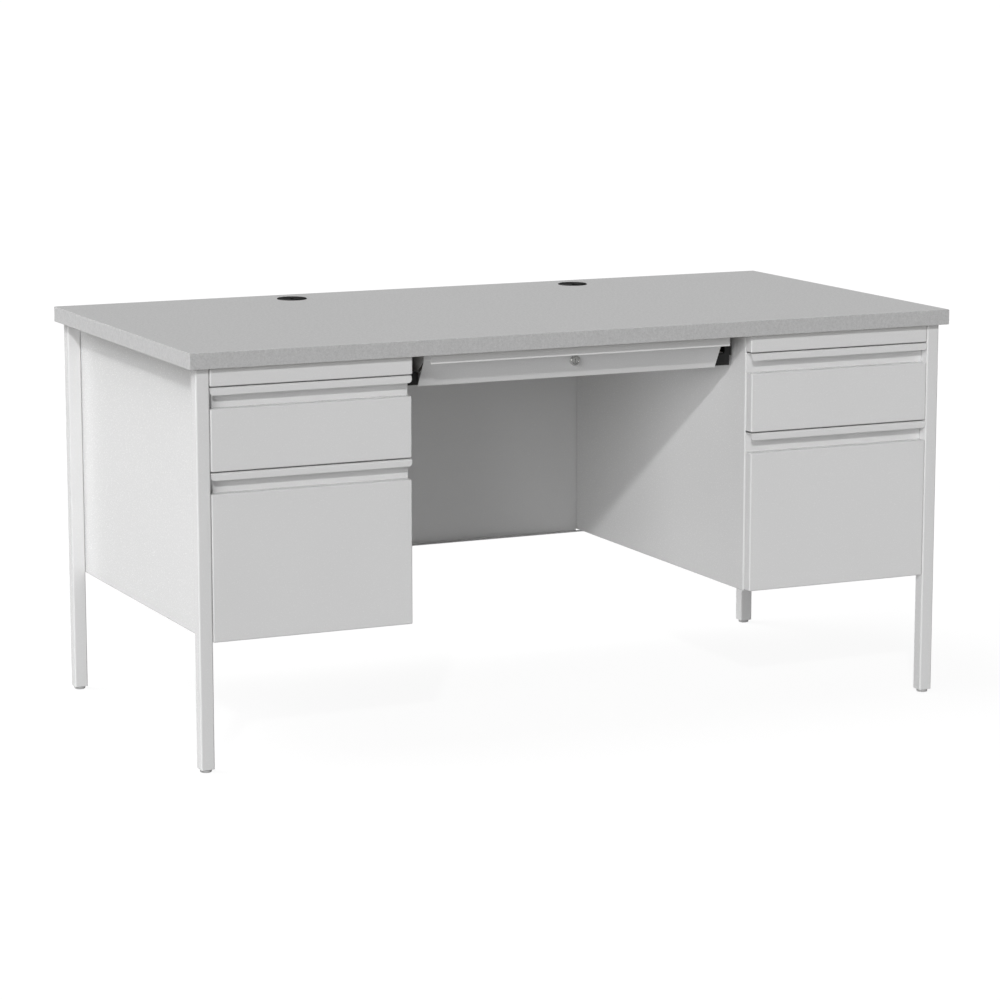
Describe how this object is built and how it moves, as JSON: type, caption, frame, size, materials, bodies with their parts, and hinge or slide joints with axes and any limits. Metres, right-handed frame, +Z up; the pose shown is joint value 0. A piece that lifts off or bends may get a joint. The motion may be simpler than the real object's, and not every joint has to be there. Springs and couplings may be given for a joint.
{
  "type": "teacher desk",
  "caption": "Pedestal teacher desk with laminate worktop, square tube legs, box and file drawers with recessed finger pulls, locking centre drawer, modesty panel and cable grommets.",
  "frame": {"origin": "on the floor under the centre of the worktop", "axes": "+X along the desk's width, to the right of a person facing the drawers; drawers open towards -Y; +Z up"},
  "size_m": [1.524, 0.762, 0.7463],
  "materials": {
    "laminate": "matt laminate on board",
    "painted_steel": "powder coated, satin",
    "glide_plastic": "moulded, matt",
    "black_nylon": "moulded, satin",
    "zinc_plate": "bright zinc plated",
    "nickel_plate": "polished nickel plated"
  },
  "bodies": {
    "desk_frame": {"worktop": "laminate", "leg_front_left": "painted_steel", "foot_glide_front_left": "glide_plastic", "leg_front_right": "painted_steel", "foot_glide_front_right": "glide_plastic", "leg_back_left": "painted_steel", "foot_glide_back_left": "glide_plastic", "leg_back_right": "painted_steel", "foot_glide_back_right": "glide_plastic", "left_outer_side_panel": "painted_steel", "left_inner_side_panel": "painted_steel", "left_back_panel": "painted_steel", "left_filler_rail": "painted_steel", "left_box_slide_inner_cabinet_member": "zinc_plate", "left_box_slide_outer_cabinet_member": "zinc_plate", "left_file_slide_inner_cabinet_member": "zinc_plate", "left_file_slide_outer_cabinet_member": "zinc_plate", "centre_rail_left": "painted_steel", "centre_glide_block_left": "black_nylon", "grommet_ring_left": "black_nylon", "right_outer_side_panel": "painted_steel", "right_inner_side_panel": "painted_steel", "right_back_panel": "painted_steel", "right_filler_rail": "painted_steel", "right_box_slide_inner_cabinet_member": "zinc_plate", "right_box_slide_outer_cabinet_member": "zinc_plate", "right_file_slide_inner_cabinet_member": "zinc_plate", "right_file_slide_outer_cabinet_member": "zinc_plate", "centre_rail_right": "painted_steel", "centre_glide_block_right": "black_nylon", "grommet_ring_right": "black_nylon", "modesty_panel": "painted_steel", "lock_strike": "zinc_plate"},
    "centre_drawer": {"centre_drawer_front": "painted_steel", "centre_drawer_tray": "painted_steel", "lock_body": "nickel_plate"},
    "lock_barrel": {"lock_plug": "nickel_plate", "lock_cam": "zinc_plate"},
    "left_box_drawer": {"left_box_drawer_front": "painted_steel", "left_box_drawer_box": "painted_steel", "left_box_slide_inner_drawer_member": "zinc_plate", "left_box_slide_outer_drawer_member": "zinc_plate"},
    "left_file_drawer": {"left_file_drawer_front": "painted_steel", "left_file_drawer_box": "painted_steel", "left_file_slide_inner_drawer_member": "zinc_plate", "left_file_slide_outer_drawer_member": "zinc_plate"},
    "left_file_slide_middles": {"left_file_slide_inner_middle_member": "zinc_plate", "left_file_slide_outer_middle_member": "zinc_plate"},
    "left_grommet_cap": {"grommet_cap_left": "black_nylon"},
    "right_box_drawer": {"right_box_drawer_front": "painted_steel", "right_box_drawer_box": "painted_steel", "right_box_slide_inner_drawer_member": "zinc_plate", "right_box_slide_outer_drawer_member": "zinc_plate"},
    "right_file_drawer": {"right_file_drawer_front": "painted_steel", "right_file_drawer_box": "painted_steel", "right_file_slide_inner_drawer_member": "zinc_plate", "right_file_slide_outer_drawer_member": "zinc_plate"},
    "right_file_slide_middles": {"right_file_slide_inner_middle_member": "zinc_plate", "right_file_slide_outer_middle_member": "zinc_plate"},
    "right_grommet_cap": {"grommet_cap_right": "black_nylon"}
  },
  "joints": [
    {"name": "centre_drawer_slide", "type": "slide", "parent": "desk_frame", "child": "centre_drawer", "axis": [0, -1, 0], "range_m": [0, 0.3]},
    {"name": "lock_turn", "type": "hinge", "parent": "centre_drawer", "child": "lock_barrel", "pos_m": [0, -0.314, 0.683], "axis": [0, -1, 0], "range_deg": [0, 90]},
    {"name": "left_box_drawer_slide", "type": "slide", "parent": "desk_frame", "child": "left_box_drawer", "axis": [0, -1, 0], "range_m": [0, 0.4]},
    {"name": "left_file_drawer_slide", "type": "slide", "parent": "desk_frame", "child": "left_file_drawer", "axis": [0, -1, 0], "range_m": [0, 0.55]},
    {"name": "left_file_middle_slide", "type": "slide", "parent": "desk_frame", "child": "left_file_slide_middles", "axis": [0, -1, 0], "range_m": [0, 0.275]},
    {"name": "left_grommet_cap_turn", "type": "hinge", "parent": "desk_frame", "child": "left_grommet_cap", "pos_m": [-0.304, 0.307, 0.7445], "axis": [0, 0, 1], "continuous": true},
    {"name": "right_box_drawer_slide", "type": "slide", "parent": "desk_frame", "child": "right_box_drawer", "axis": [0, -1, 0], "range_m": [0, 0.4]},
    {"name": "right_file_drawer_slide", "type": "slide", "parent": "desk_frame", "child": "right_file_drawer", "axis": [0, -1, 0], "range_m": [0, 0.55]},
    {"name": "right_file_middle_slide", "type": "slide", "parent": "desk_frame", "child": "right_file_slide_middles", "axis": [0, -1, 0], "range_m": [0, 0.275]},
    {"name": "right_grommet_cap_turn", "type": "hinge", "parent": "desk_frame", "child": "right_grommet_cap", "pos_m": [0.304, 0.307, 0.7445], "axis": [0, 0, 1], "continuous": true}
  ],
  "couplings": [
    {"joint": "left_file_middle_slide", "follows": "left_file_drawer_slide", "ratio": 0.5},
    {"joint": "right_file_middle_slide", "follows": "right_file_drawer_slide", "ratio": 0.5}
  ]
}
